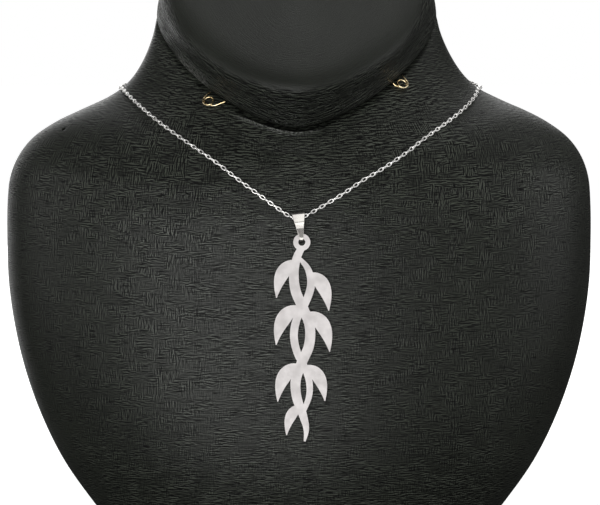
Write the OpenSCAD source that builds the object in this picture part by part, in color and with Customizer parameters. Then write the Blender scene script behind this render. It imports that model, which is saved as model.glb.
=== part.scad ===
// A nameplate necklace on a neck-shaped display form. The necklace is a fine cable chain, a tapered
// bail and a pierced flat pendant. The form is a covered bust with a padded cap on its neck.
// X runs to the right of the chest, Y to the back and Z up. The origin is under the middle, on the base.

/* [Form] */
// Width of the form across its shoulders
form_w = 194.4; // [180:0.2:205]
// How far the widest line of the form lies behind the middle
form_y = 2.2; // [0:0.1:6]
// Clear gap between the neck and the cap on it
cap_gap = 0.2; // [0.1:0.05:0.5]

/* [Hooks] */
// Thickness of the brass wire of the two small hooks
hook_wire = 0.5; // [0.4:0.05:0.7]
// Width of each hook's loop, from wire centre to wire centre
hook_w = 3.7; // [3:0.1:4.5]

/* [Chain] */
// Width of the cable chain over its links
chain_w = 1.4; // [1.2:0.05:1.6]
// Clear gap between the chain and the cover of the form
chain_gap = 0.32; // [0.25:0.01:0.5]

/* [Clasp] */
// Length of the clasp behind the neck
clasp_l = 13; // [12:0.1:13.2]
// Thickness of the clasp
clasp_t = 2; // [1.6:0.1:2.4]

/* [Bail] */
// Drop from the chain's axis to the middle of the pendant's eyelet
bail_drop = 8.2; // [8.2:0.1:8.4]
// Width of the bail over the chain
bail_top_w = 4.5; // [4:0.1:5]
// Width of the bail in the eyelet
bail_low_w = 0.8; // [0.7:0.05:0.9]
// Thickness of the bail's strip
bail_t = 0.5; // [0.4:0.05:0.5]
// Sideways lean of the bail, in degrees
bail_lean = 7; // [0:1:8]

/* [Pendant] */
// Thickness of the pendant's plate
plate_t = 1.2; // [1:0.1:1.3]
// How far the plate's top leans back, in degrees
plate_tilt = 2; // [1.5:0.1:2.5]
// Width of the eyelet's hole
eyelet_hole = 2.2; // [2.15:0.01:2.3]
// Width of the ring round the eyelet
eyelet_w = 5.4; // [5:0.1:5.4]

/* [Hidden] */

// The form is a stack of rings. Each row of ring_rows has these columns, in millimetres and degrees:
// side height, half width, front reach, back reach, tilt, front roundness, back roundness,
// how late the ring dips at the front and rises at the back, sideways lean
ring_rows = [
    [0, 47.6, 33, 29, 0, 2.2, 2.2, 2, 0],
    [2, 51.2, 35.6, 31.2, 0, 2.2, 2.2, 2, 0],
    [10, 59.8, 40.8, 37, 0, 2.2, 2.2, 2, 0],
    [20, 68.1, 45.5, 41.5, 0, 2.2, 2.2, 2, 0],
    [35, 78.6, 49.6, 45, 0, 2.2, 2.2, 2, 0],
    [50, 86, 50.9, 47, 0, 2.2, 2.2, 2, 0],
    [65, 91.3, 50.8, 48, 0, 2.2, 2.2, 2, 0],
    [80, 94.8, 50.2, 48.5, 0, 2.2, 2.2, 2, 0],
    [95, 96.8, 49.3, 48.5, 0, 2.2, 2.2, 2, 0],
    [110, 97.2, 48.3, 48.5, 1.5, 2.2, 2.2, 2, 0],
    [122, 97, 47.9, 48.2, 5, 2.15, 2.1, 2, 0],
    [130, 96.1, 47.3, 47.8, 8.5, 2.1, 2.1, 2, 0.1],
    [137, 93.3, 46.8, 47.4, 12, 2.1, 2, 2, 0.3],
    [143, 88.5, 46.4, 47, 15.5, 2, 2, 2, 0.5],
    [148, 81.3, 46.4, 47, 19, 2, 2, 2, 0.8],
    [152, 73.2, 46.7, 47, 22, 2, 2, 2, 1.1],
    [156, 64.1, 47, 47, 25, 1.9, 2, 1.9, 0.6],
    [160, 57.9, 47.2, 47, 28, 1.8, 2, 1.7, 0.2],
    [166, 52.7, 48, 47, 32, 1.7, 2, 1.4, -0.2],
    [174, 48.5, 49.5, 47, 37.5, 1.6, 2, 1.15, -0.6],
    [181, 46.5, 52, 47, 43, 1.5, 2, 1, -0.8]
];
rings_w = 194.4;
grow = form_w / rings_w;
rim_ring = ring_rows[len(ring_rows) - 1];
rim_z = rim_ring[0];
rim_tilt = rim_ring[4];

// The padded cap is a stack of outlines on the slanted plane of the neck's rim. Its columns are the
// height above that plane, and how far the outline lies inside the rim at the front and at the sides
cap_rows = [
    [0, 1.4, 1.6],
    [0.8, 0, 0.4],
    [2.5, -0.8, 0.2],
    [5, -0.9, 0.6],
    [7.5, -0.5, 1.5],
    [9.8, 0.6, 2.6],
    [11.8, 2.6, 4.3],
    [13.4, 5.4, 6.6],
    [14.5, 9, 10],
    [15.2, 13.5, 14.2],
    [15.7, 20, 20.3],
    [15.9, 30, 30],
    [16, 42, 42]
];

// Each hook is a wire that runs in from one end, round a coil and out to its other end.
// Its middle on the form: the ring's height, and the angle round from the front
hook_left_at = [175.5, -41.2];
hook_right_at = [177.7, 50.6];
// The turns at which the coil begins and ends, from the right, as seen by who faces the cover
hook_left_turns = [145, 585];
hook_right_turns = [35, -490];
// The straight ends. Columns: distance right and up from the middle, and height above the low strand
hook_left_in = [[-0.2, 3.4, 0], [-0.9, 2.3, 0.5]];
hook_left_out = [[1.9, -1.7, 0], [3.4, -1.15, 0], [5.4, -0.2, 0]];
hook_right_in = [[0.9, 3.2, 0], [1.1, 2.1, 0.5]];
hook_right_out = [[-2.4, -0.6, 0], [-3.1, 0.3, 0]];
hook_shrink = 0.3;
hook_turn = 28;
hook_climb = 0.62;

// The chain's route from the left end at the clasp to the bail, and from the bail to the right end.
// Columns: the angle round the form from the front, and the height of the ring that it lies on
route_left = [
    [-174, 155.3], [-163, 155], [-151, 154.6], [-139, 154.2], [-127, 154.4], [-115, 155.5],
    [-103, 157.4], [-91, 158.7], [-80, 158.9], [-70, 158.6], [-60, 158], [-50, 157.1],
    [-40, 155.8], [-29.5, 153.6], [-20, 149.3], [-13, 141.9], [-7.8, 135.2], [-4, 128.2]
];
route_right = [
    [3.8, 128.2], [7.5, 134.2], [12, 140.4], [18.5, 146.8], [27.5, 152.4], [37.5, 154.9],
    [48, 156.2], [58, 157], [69, 157.8], [80, 158.7], [91, 158.6], [103, 157.4],
    [115, 155.5], [127, 154.4], [139, 154.2], [151, 154.6], [163, 155], [174, 155.3]
];
clasp_ring = 155.3;

// The eyelet hangs in front of this ring, this far off the cover and to the right of the middle
eyelet_ring = 112.4;
eyelet_off = 1.8;
eyelet_x = 0.9;

// One side of the bail's strip, down from the roof over the chain to the bend in the eyelet.
// Columns: distance from its middle plane, and height above the chain's axis
bail_rows = [
    [0, 1.3], [0.92, 0.92], [1.3, 0], [1.14, -0.9], [0.76, -1.9], [0.43, -2.7], [0.34, -3.3],
    [0.42, -4], [0.78, -4.7], [1.1, -5.4], [1.17, -6.2], [1.14, -6.9], [0.9, -7.5], [0.45, -7.8],
    [0, -7.85]
];

// The pendant is an interlaced vine. Each stroke is a table with the columns
// distance to the right of the eyelet, height above it, and half the stroke's width
stem_rows = [
    [0, -1.6, 1.1], [-1.6, -5, 1.3], [-2.5, -10, 1.5], [-1.9, -15.5, 1.6], [0.5, -21, 1.6],
    [2.5, -26.5, 1.6], [2.3, -32.5, 1.6], [0, -38, 1.6], [-1.9, -43.5, 1.6], [-1.6, -49, 1.5],
    [0.3, -54.5, 1.3], [1.4, -59, 0.9], [0.9, -63, 0.3]
];
vine_rows = [
    [-0.6, -5.2, 0.6], [2, -8.6, 1], [2.9, -13.5, 1.25], [1.2, -19, 1.2], [-1.5, -24, 1.25],
    [-2.5, -29.5, 1.25], [-1.4, -35, 1.2], [1.1, -40, 1.1], [2.4, -44.5, 1.05], [2.2, -49, 0.95],
    [0.3, -54, 0.7]
];
// Each leaf is a bow from its base to its tip. Columns: the base, the point that its bow bends
// towards and the tip, each as distance right and height, and half the leaf's width
leaf_rows = [
    [-1.6, -6.2, -7.4, -7.8, -8, -17.6, 1.8],
    [2.4, -10.2, 7.9, -11.6, 8.5, -21.6, 1.9],
    [-0.8, -20.6, -7.2, -22, -8.1, -32.4, 1.95],
    [1.8, -22.6, 8, -24, 8.8, -34.6, 2],
    [-0.8, -39, -7, -40.2, -7.6, -50.4, 1.85],
    [1.2, -39.4, 6.6, -40.8, 7.3, -50.2, 1.7],
    [0, -52, -4.4, -53.2, -4.8, -61, 1.35]
];
leaf_root = 0.45;
leaf_tip = 0.12;

// Detail of the faceted walls
form_sides = 56;
ring_steps = 2;
chain_sides = 8;
hook_sides = 8;
chain_steps = 2;
bail_steps = 3;
stem_steps = 7;
leaf_steps = 18;
round_fn = 48;

// A value of column k at height z, on a smooth curve through the rows of a table
function row_slope(rows, k, i) =
    let (a = max(i - 1, 0), b = min(i + 1, len(rows) - 1))
    (rows[b][k] - rows[a][k]) / (rows[b][0] - rows[a][0]);
function row_of(rows, z, i = 0) =
    i < len(rows) - 2 && z > rows[i + 1][0] ? row_of(rows, z, i + 1) : i;
function between(rows, k, z) =
    let (
        i = row_of(rows, z),
        w = rows[i + 1][0] - rows[i][0],
        t = (z - rows[i][0]) / w,
        from = rows[i][k],
        to = rows[i + 1][k],
        leave = row_slope(rows, k, i) * w,
        arrive = row_slope(rows, k, i + 1) * w
    )
    from * (2 * t ^ 3 - 3 * t ^ 2 + 1) + leave * (t ^ 3 - 2 * t ^ 2 + t)
    + to * (3 * t ^ 2 - 2 * t ^ 3) + arrive * (t ^ 3 - t ^ 2);

// A sine or cosine bent to the roundness n, where 2 gives an ellipse
function bent(v, n) = sign(v) * abs(v) ^ (2 / n);

// A point of the form's cover on the ring of side height z, at the angle a round from the front
function cover(z, a) =
    let (
        front = cos(a) > 0,
        reach = between(ring_rows, front ? 2 : 3, z),
        n = between(ring_rows, front ? 5 : 6, z),
        late = between(ring_rows, 7, z),
        tilt = between(ring_rows, 4, z),
        x = between(ring_rows, 8, z) + between(ring_rows, 1, z) * bent(sin(a), n),
        y = reach * cos(tilt) * bent(cos(a), n),
        dip = reach * sin(tilt) * bent(cos(a), n / late)
    )
    [grow * x, form_y - grow * y, grow * (z - dip)];

function unit(v) = v / norm(v);
normal_step = 0.05;
function cover_normal(z, a) =
    let (
        zi = min(z, rim_z - normal_step),
        up = cover(zi + normal_step, a) - cover(zi - normal_step, a),
        round = cover(zi, a + normal_step) - cover(zi, a - normal_step)
    )
    unit(cross(round, up));
function off_cover(z, a, h) = cover(z, a) + h * cover_normal(z, a);

// A smooth curve through points, with the given number of steps from each point to the next
function spline(p, steps) = [
    for (i = [0:len(p) - 2])
        let (
            leave = (p[i + 1] - p[max(i - 1, 0)]) / 2,
            arrive = (p[min(i + 2, len(p) - 1)] - p[i]) / 2
        )
        for (k = [0:steps - 1])
            let (t = k / steps)
            p[i] * (2 * t ^ 3 - 3 * t ^ 2 + 1) + leave * (t ^ 3 - 2 * t ^ 2 + t)
            + p[i + 1] * (3 * t ^ 2 - 2 * t ^ 3) + arrive * (t ^ 3 - t ^ 2),
    p[len(p) - 1]
];

// A closed wall through rings of m points each, all turning the same way, closed at both ends
module lofted(rings) {
    m = len(rings[0]);
    points = [for (ring = rings) each ring];
    walls = [
        for (i = [0:len(rings) - 2])
            for (j = [0:m - 1])
                let (a = i * m + j, b = i * m + (j + 1) % m)
                each [[a, b + m, b], [a, a + m, b + m]]
    ];
    first = [for (j = [0:m - 1]) j];
    last = [for (j = [m - 1:-1:0]) (len(rings) - 1) * m + j];
    polyhedron(points, concat([first, last], walls), convexity = 6);
}

// The covered form of the bust, from its flat base to the slanted rim of the neck
ring_heights = [
    for (i = [0:len(ring_rows) - 2])
        for (k = [0:ring_steps - 1])
            ring_rows[i][0] + (ring_rows[i + 1][0] - ring_rows[i][0]) * k / ring_steps,
    rim_z
];
module neck_bust() {
    color("dimgray")
        lofted([
            for (z = ring_heights)
                [for (j = [0:form_sides - 1]) cover(z, j * 360 / form_sides)]
        ]);
}

// A point of the cap on a row of cap_rows, at the angle a round from the front
function cap_point(row, a) =
    let (
        front = cos(a) > 0,
        h = row[0],
        inset = row[1] * cos(a) ^ 2 + row[2] * sin(a) ^ 2,
        reach = rim_ring[front ? 2 : 3] - inset,
        n = rim_ring[front ? 5 : 6],
        x = rim_ring[8] + (rim_ring[1] - inset) * bent(sin(a), n),
        along = reach * bent(cos(a), n)
    )
    [
        grow * x,
        form_y - grow * (along * cos(rim_tilt) + h * sin(rim_tilt)) - cap_gap * sin(rim_tilt),
        grow * (rim_z - along * sin(rim_tilt) + h * cos(rim_tilt)) + cap_gap * cos(rim_tilt)
    ];
module neck_cap() {
    color("dimgray")
        lofted([
            for (row = cap_rows)
                [for (j = [0:form_sides - 1]) cap_point(row, j * 360 / form_sides)]
        ]);
}

// Puts its children on the cover with their Z axis along the cover's normal
module on_cover(z, a, h) {
    n = cover_normal(z, a);
    translate(off_cover(z, a, h))
        rotate([0, acos(n.z), atan2(n.y, n.x)])
            children();
}

// A tube of diameter d along a line, whose rings are square to the line and start from the side
// that faces away from the point inner
module tube(line, d, sides, inner) {
    last = len(line) - 1;
    lofted([
        for (i = [0:last])
            let (
                along = unit(line[min(i + 1, last)] - line[max(i - 1, 0)]),
                side = unit(cross(along, line[i] - inner(line[i]))),
                top = cross(side, along)
            )
            [
                for (j = [0:sides - 1])
                    let (a = (j + 0.5) * 360 / sides)
                    line[i] + d / 2 * (cos(a) * side - sin(a) * top)
            ]
    ]);
}

// How far along its way from 0 to 1 a smooth step between the values a and b has come at v
function ease(v, a, b) =
    let (t = min(max((v - a) / (b - a), 0), 1))
    t * t * (3 - 2 * t);

// A small hook of bent brass wire: it comes in high, runs round a coil, sinks under its own first
// strand and goes out low
hook_sink_from = 0.3;
hook_sink_to = 0.52;
hook_steps = 2;
module wire_hook(at, turns, in, out) {
    count = ceil(abs(turns[1] - turns[0]) / hook_turn);
    coil = [
        for (i = [0:count])
            let (
                u = i / count,
                a = turns[0] + (turns[1] - turns[0]) * u,
                sunk = ease(u, hook_sink_from, hook_sink_to),
                r = hook_w / 2 - hook_shrink * sunk
            )
            [r * cos(a), r * sin(a), hook_climb * (1 - sunk)]
    ];
    color("goldenrod")
        on_cover(at[0], at[1], hook_wire / 2 + chain_gap)
            rotate(90)
                tube(
                    spline(concat(in, coil, out), hook_steps), hook_wire, hook_sides,
                    function(p) p - [0, 0, 1]
                );
}
module hook_left() {
    wire_hook(hook_left_at, hook_left_turns, hook_left_in, hook_left_out);
}
module hook_right() {
    wire_hook(hook_right_at, hook_right_turns, hook_right_in, hook_right_out);
}

// The middle of the eyelet, and the directions of the plate: right, out of its back and up
eyelet = [eyelet_x, off_cover(eyelet_ring, 0, eyelet_off).y, off_cover(eyelet_ring, 0, eyelet_off).z];
plate_up = [0, sin(plate_tilt), cos(plate_tilt)];
bail_up = plate_up * cos(bail_lean) - [sin(bail_lean), 0, 0];
bail_right = plate_up * sin(bail_lean) + [cos(bail_lean), 0, 0];
bail_top = eyelet + bail_drop * bail_up;

// The cable chain as one tube along its route, from one end of the clasp to the other
chain_off = chain_w / 2 + chain_gap;
in_bail = bail_top_w / 2;
route = [
    for (row = route_left) off_cover(row[1], row[0], chain_off),
    bail_top - in_bail * bail_right,
    bail_top,
    bail_top + in_bail * bail_right,
    for (row = route_right) off_cover(row[1], row[0], chain_off)
];
chain_heart = 20;
module chain() {
    color("silver")
        tube(
            spline(route, chain_steps), chain_w, chain_sides,
            function(p) [0, form_y, p.z - chain_heart]
        );
}

// The clasp behind the neck: a flat drop with a hole at one end, joined to a small ring
clasp_r = 2.2;
clasp_hole = 1.8;
clasp_ring_r = 1.5;
clasp_neck = 1.6;
module clasp() {
    big_x = -clasp_l / 2 + clasp_r;
    small_x = clasp_l / 2 - clasp_ring_r;
    color("silver")
        on_cover(clasp_ring, 180, clasp_t / 2 + chain_gap)
            rotate(90)
                difference() {
                    union() {
                        translate([big_x, 0, 0])
                            cylinder(h = clasp_t, r = clasp_r, center = true, $fn = round_fn);
                        translate([(big_x + small_x) / 2, 0, 0])
                            cube([small_x - big_x, clasp_neck, clasp_t], center = true);
                        translate([small_x, 0, 0])
                            cylinder(h = clasp_t, r = clasp_ring_r, center = true, $fn = round_fn);
                    }
                    translate([big_x, 0, 0])
                        cylinder(h = 2 * clasp_t, d = clasp_hole, center = true, $fn = round_fn);
                    translate([small_x, 0, 0])
                        cylinder(h = 2 * clasp_t, d = clasp_hole, center = true, $fn = round_fn);
                }
}

// Puts its children in the plate's frame at p: X right, Y out of its back, Z up, leaning by turn
module in_plate(p, turn = 0) {
    translate(p)
        rotate([-plate_tilt, 0, 0])
            rotate([0, -turn, 0])
                children();
}

// The direction to the left of a line of points in a plane, at its point i
function side_of(line, i) =
    let (
        a = line[max(i - 1, 0)],
        b = line[min(i + 1, len(line) - 1)],
        d = unit([b.x - a.x, b.y - a.y])
    )
    [-d.y, d.x];

// The bail: a strip bent into a closed loop over the chain and through the eyelet, and tapered
bail_margin = 2;
module bail() {
    half = spline(bail_rows, bail_steps);
    line = [for (p = half) p, for (i = [len(half) - 2:-1:1]) [-half[i].x, half[i].y]];
    m = len(line);
    rim = function(s) [
        for (i = [0:m - 1])
            let (d = unit(line[(i + 1) % m] - line[(i + m - 1) % m]))
            line[i] + s * bail_t / 2 * [-d.y, d.x]
    ];
    top_z = bail_rows[0][1] + bail_t;
    low_z = bail_rows[len(bail_rows) - 1][1] - bail_t;
    color("silver")
        in_plate(bail_top, bail_lean)
            intersection() {
                rotate([90, 0, 90])
                    linear_extrude(bail_top_w + bail_margin, center = true)
                        difference() {
                            polygon(rim(1));
                            polygon(rim(-1));
                        }
                rotate([90, 0, 0])
                    linear_extrude(2 * bail_margin + bail_t, center = true)
                        polygon([
                            [-bail_top_w / 2, top_z],
                            [bail_top_w / 2, top_z],
                            [bail_low_w / 2, low_z],
                            [-bail_low_w / 2, low_z]
                        ]);
            }
}

// A flat stroke along a line whose points hold half the stroke's width in their last place
module stroke(line) {
    last = len(line) - 1;
    polygon([
        for (i = [0:last]) [line[i].x, line[i].y] + line[i].z * side_of(line, i),
        for (i = [last:-1:0]) [line[i].x, line[i].y] - line[i].z * side_of(line, i)
    ]);
}

// The middle line of a leaf, with half its width, swelling from its root and running out to a tip
function leaf_line(row) = [
    for (i = [0:leaf_steps])
        let (
            t = i / leaf_steps,
            at = (1 - t) ^ 2 * [row[0], row[1]] + 2 * t * (1 - t) * [row[2], row[3]]
                + t ^ 2 * [row[4], row[5]],
            half = row[6] * sin(180 * t ^ 0.95) + leaf_root * (1 - t) + leaf_tip
        )
        [at.x, at.y, half]
];

// The pendant: a flat plate cut out as a ring, two interlaced stems and their leaves
module pendant() {
    color("gainsboro")
        in_plate(eyelet)
            rotate([90, 0, 0])
                difference() {
                    union() {
                        cylinder(h = plate_t, d = eyelet_w, center = true, $fn = round_fn);
                        linear_extrude(plate_t, center = true) {
                            stroke(spline(stem_rows, stem_steps));
                            stroke(spline(vine_rows, stem_steps));
                            for (row = leaf_rows)
                                stroke(leaf_line(row));
                        }
                    }
                    cylinder(h = 2 * plate_t, d = eyelet_hole, center = true, $fn = round_fn);
                }
}

neck_bust();
neck_cap();
hook_left();
hook_right();
chain();
clasp();
bail();
pendant();
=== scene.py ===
import functools
import math

import bmesh
import bpy
import numpy as np
from mathutils import Matrix, Vector


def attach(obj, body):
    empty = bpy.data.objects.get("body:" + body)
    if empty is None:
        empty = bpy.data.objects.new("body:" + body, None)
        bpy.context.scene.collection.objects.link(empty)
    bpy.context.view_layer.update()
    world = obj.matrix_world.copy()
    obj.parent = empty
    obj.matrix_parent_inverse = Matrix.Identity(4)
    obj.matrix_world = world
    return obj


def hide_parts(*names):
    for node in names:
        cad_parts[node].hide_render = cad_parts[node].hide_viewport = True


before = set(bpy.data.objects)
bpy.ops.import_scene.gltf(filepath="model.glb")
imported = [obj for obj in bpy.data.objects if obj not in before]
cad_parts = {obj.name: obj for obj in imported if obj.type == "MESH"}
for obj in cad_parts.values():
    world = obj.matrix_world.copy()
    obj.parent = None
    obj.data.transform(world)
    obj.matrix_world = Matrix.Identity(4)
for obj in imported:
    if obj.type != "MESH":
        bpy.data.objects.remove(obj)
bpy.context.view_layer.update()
scene = bpy.context.scene
MM = 0.001

# Camera: a long lens straight in front of the chest and a little above it, so that the bust fills
# the picture's width and its foot runs out of the lower edge.
PICTURE_WIDTH = 600
FOCAL_PIXELS = 2700
SENSOR = 36
CAMERA_DISTANCE = 900 * MM
CAMERA_ELEVATION = math.radians(4)
AIM = Vector((0.33, 0, 104.2)) * MM

lens = bpy.data.cameras.new("camera")
lens.sensor_width = SENSOR
lens.lens = SENSOR * FOCAL_PIXELS / PICTURE_WIDTH
lens.clip_start = 10 * MM
lens.clip_end = 20
camera = bpy.data.objects.new("camera", lens)
scene.collection.objects.link(camera)
scene.camera = camera
back = Vector((0, -math.cos(CAMERA_ELEVATION), math.sin(CAMERA_ELEVATION)))
camera.location = AIM + CAMERA_DISTANCE * back
camera.rotation_euler = back.to_track_quat("Z", "Y").to_euler()


# Neck bust: a moulded form with broad shoulders and a short neck, wrapped in charcoal leatherette
# that is glued down over it and closed by one seam down the back. Each row of RINGS is a level
# outline: side height, half width, front and back reach, tilt, front and back roundness, how late
# the outline dips at the front and rises at the back, and sideways lean.
RINGS = np.array([
    [0, 47.6, 33, 29, 0, 2.2, 2.2, 2, 0],
    [2, 51.2, 35.6, 31.2, 0, 2.2, 2.2, 2, 0],
    [10, 59.8, 40.8, 37, 0, 2.2, 2.2, 2, 0],
    [20, 68.1, 45.5, 41.5, 0, 2.2, 2.2, 2, 0],
    [35, 78.6, 49.6, 45, 0, 2.2, 2.2, 2, 0],
    [50, 86, 50.9, 47, 0, 2.2, 2.2, 2, 0],
    [65, 91.3, 50.8, 48, 0, 2.2, 2.2, 2, 0],
    [80, 94.8, 50.2, 48.5, 0, 2.2, 2.2, 2, 0],
    [95, 96.8, 49.3, 48.5, 0, 2.2, 2.2, 2, 0],
    [110, 97.2, 48.3, 48.5, 1.5, 2.2, 2.2, 2, 0],
    [122, 97, 47.9, 48.2, 5, 2.15, 2.1, 2, 0],
    [130, 96.1, 47.3, 47.8, 8.5, 2.1, 2.1, 2, 0.1],
    [137, 93.3, 46.8, 47.4, 12, 2.1, 2, 2, 0.3],
    [143, 88.5, 46.4, 47, 15.5, 2, 2, 2, 0.5],
    [148, 81.3, 46.4, 47, 19, 2, 2, 2, 0.8],
    [152, 73.2, 46.7, 47, 22, 2, 2, 2, 1.1],
    [156, 64.1, 47, 47, 25, 1.9, 2, 1.9, 0.6],
    [160, 57.9, 47.2, 47, 28, 1.8, 2, 1.7, 0.2],
    [166, 52.7, 48, 47, 32, 1.7, 2, 1.4, -0.2],
    [174, 48.5, 49.5, 47, 37.5, 1.6, 2, 1.15, -0.6],
    [181, 46.5, 52, 47, 43, 1.5, 2, 1, -0.8],
])
FORM_Y = 2.2
RIM_Z = RINGS[-1][0]
BUST_SIDES = 224
BUST_STEPS = 8
SEAM_DEPTH = 0.45
SEAM_WIDTH = 0.8
# Degrees to either side of the seam: the closer columns there, and the span without the even ones
SEAM_COLUMNS = (-2.4, -1.2, -0.7, -0.35, 0, 0.35, 0.7, 1.2, 2.4)
SEAM_SPAN = 3


@functools.lru_cache(maxsize=None)
def outline_at(z):
    """The row of RINGS at height z, on a smooth curve through the table."""
    heights = RINGS[:, 0]
    i = int(np.clip(np.searchsorted(heights, z, side="left") - 1, 0, len(RINGS) - 2))

    def slope(k):
        """The curve's slope at row k, from its neighbours."""
        a, b = max(k - 1, 0), min(k + 1, len(RINGS) - 1)
        return (RINGS[b] - RINGS[a]) / (heights[b] - heights[a])

    width = heights[i + 1] - heights[i]
    t = (z - heights[i]) / width
    return (
        RINGS[i] * (2 * t**3 - 3 * t**2 + 1)
        + slope(i) * width * (t**3 - 2 * t**2 + t)
        + RINGS[i + 1] * (3 * t**2 - 2 * t**3)
        + slope(i + 1) * width * (t**3 - t**2)
    )


def bent(v, roundness):
    """A sine or cosine bent to a roundness, where 2 gives an ellipse."""
    return math.copysign(abs(v) ** (2 / roundness), v)


def cover(z, angle):
    """A point of the cover in metres, at height z of its outline and an angle from the front."""
    _, half, front, behind, tilt, front_n, back_n, late, lean = outline_at(z)
    c, s = math.cos(math.radians(angle)), math.sin(math.radians(angle))
    reach, n = (front, front_n) if c > 0 else (behind, back_n)
    tilt = math.radians(tilt)
    return Vector((
        lean + half * bent(s, n),
        FORM_Y - reach * math.cos(tilt) * bent(c, n),
        z - reach * math.sin(tilt) * bent(c, n / late),
    )) * MM


def cover_normal(z, angle, step=0.05):
    """The outward direction of the cover there."""
    z = min(z, RIM_Z - step)
    up = cover(z + step, angle) - cover(z - step, angle)
    along = cover(z, angle + step) - cover(z, angle - step)
    return along.cross(up).normalized()


def off_cover(z, angle, height):
    """A point that lies a height in millimetres off the cover."""
    return cover(z, angle) + float(height * MM) * cover_normal(z, angle)


def smooth_step(v, a, b):
    """How far along its way from 0 to 1 a smooth step between a and b has come at v."""
    t = min(max((v - a) / (b - a), 0), 1)
    return t * t * (3 - 2 * t)


# A ring that rises this much from front to back counts as fully slanted
FULL_SLANT = 20 * MM


def lay_out(rings, level):
    """The distances of each point round its ring from the front, and up from the first ring.

    The distances up are alike all round a level ring, and each point's own on rings that slant.
    With level, those on rings that slant are heights, which keeps the lines of the grain level.
    """
    p = np.array([[v[:] for v in ring] for ring in rings])
    steps = np.linalg.norm(np.diff(p, axis=1, append=p[:, :1]), axis=2)
    u = np.concatenate([np.zeros((len(p), 1)), np.cumsum(steps, axis=1)], axis=1)
    u -= u[:, -1:] / 2
    rise = np.linalg.norm(np.diff(p, axis=0), axis=2)
    even = rise.mean(axis=1, keepdims=True)
    own = np.abs(np.diff(p[:, :, 2], axis=0)) if level else rise
    slant = np.clip(np.ptp(p[1:, :, 2], axis=1) / FULL_SLANT, 0, 1)[:, None]
    v = np.concatenate([np.zeros((1, len(p[0]))), np.cumsum(even + slant * (own - even), axis=0)])
    return u, np.concatenate([v, v[:, :1]], axis=1)


def ring_faces(rows, count, closed=False):
    """The faces between rings of points, and from the last to the first in a closed loop."""
    return [
        (i * count + k, i * count + (k + 1) % count,
         (i + 1) % rows * count + (k + 1) % count, (i + 1) % rows * count + k)
        for i in range(rows if closed else rows - 1)
        for k in range(count)
    ]


def skin_mesh(name, rings, centre_top=None):
    """A closed mesh through rings that all start at the back, with a UV map in metres.

    Its top is one flat face, or a fan round a middle point where there is one.
    """
    count = len(rings[0])
    points = [tuple(p) for ring in rings for p in ring]
    u, v = lay_out(rings, level=centre_top is None)
    faces = ring_faces(len(rings), count)
    corners = [
        (u[a, b], v[a, b])
        for i in range(len(rings) - 1)
        for j in range(count)
        for a, b in ((i, j), (i, j + 1), (i + 1, j + 1), (i + 1, j))
    ]
    faces.append(tuple(range(count - 1, -1, -1)))
    corners += [tuple(points[j][:2]) for j in range(count - 1, -1, -1)]
    top = (len(rings) - 1) * count
    if centre_top is None:
        faces.append(tuple(range(top, top + count)))
        corners += [(u[-1, j], v[-1, j]) for j in range(count)]
    else:
        points.append(tuple(centre_top))
        for j in range(count):
            k = (j + 1) % count
            faces.append((top + j, top + k, len(points) - 1))
            tip = ((u[-1, j] + u[-1, j + 1]) / 2, v[-1, j])
            corners += [(u[-1, j], v[-1, j]), (u[-1, j + 1], v[-1, j + 1]), tip]
    mesh = bpy.data.meshes.new(name)
    mesh.from_pydata(points, [], faces)
    mesh.uv_layers.new(name="cover").data.foreach_set("uv", np.array(corners, float).ravel())
    mesh.shade_smooth()
    return mesh


def place(name, mesh, material, body, node):
    """A finished piece that stands for a node of the frame."""
    piece = bpy.data.objects.new(name, mesh)
    scene.collection.objects.link(piece)
    mesh.materials.clear()
    mesh.materials.append(material)
    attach(piece, body)
    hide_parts(node)
    return piece


def new_material(name):
    """An empty node material and its main shader."""
    material = bpy.data.materials.new(name)
    material.use_nodes = True
    shader = material.node_tree.nodes["Principled BSDF"]
    return material, shader


def grow(tree, kind, **values):
    """A node in a tree, with its properties set and its inputs linked or set.

    A value goes to an input by its name, or by its number, as in i0.
    """
    node = tree.nodes.new(kind)
    for key, value in values.items():
        if hasattr(node, key):
            setattr(node, key, value)
            continue
        by_number = key[0] == "i" and key[1:].isdigit()
        socket = node.inputs[int(key[1:]) if by_number else key]
        if isinstance(value, bpy.types.NodeSocket):
            tree.links.new(value, socket)
        else:
            socket.default_value = value
    return node


def add_node(material, kind, **values):
    """A node in a material's tree."""
    return grow(material.node_tree, kind, **values)


def stretched_noise(material, coordinates, scale, detail=2.0):
    """A noise whose scale differs along U and V, so that it draws out into short dashes."""
    mapping = add_node(material, "ShaderNodeMapping", Vector=coordinates, Scale=(*scale, 1))
    return add_node(
        material, "ShaderNodeTexNoise",
        Vector=mapping.outputs[0], Scale=1.0, Detail=detail, Roughness=0.55,
    ).outputs["Fac"]


def ranged(material, value, low, high, to_low=0.0, to_high=1.0):
    """A value carried smoothly from one range to another, and held inside it."""
    return add_node(
        material, "ShaderNodeMapRange", interpolation_type="SMOOTHSTEP",
        i0=value, i1=low, i2=high, i3=to_low, i4=to_high,
    ).outputs[0]


def math_node(material, operation, a, b):
    """Two values combined by an operation of the math node."""
    return add_node(material, "ShaderNodeMath", operation=operation, i0=a, i1=b).outputs[0]


def mixed(material, factor, a, b):
    """Two colours mixed."""
    node = add_node(material, "ShaderNodeMix", data_type="RGBA", i0=factor)
    for socket, value in ((node.inputs[6], a), (node.inputs[7], b)):
        if isinstance(value, bpy.types.NodeSocket):
            material.node_tree.links.new(value, socket)
        else:
            socket.default_value = (*value, 1)
    return node.outputs[2]


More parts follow.
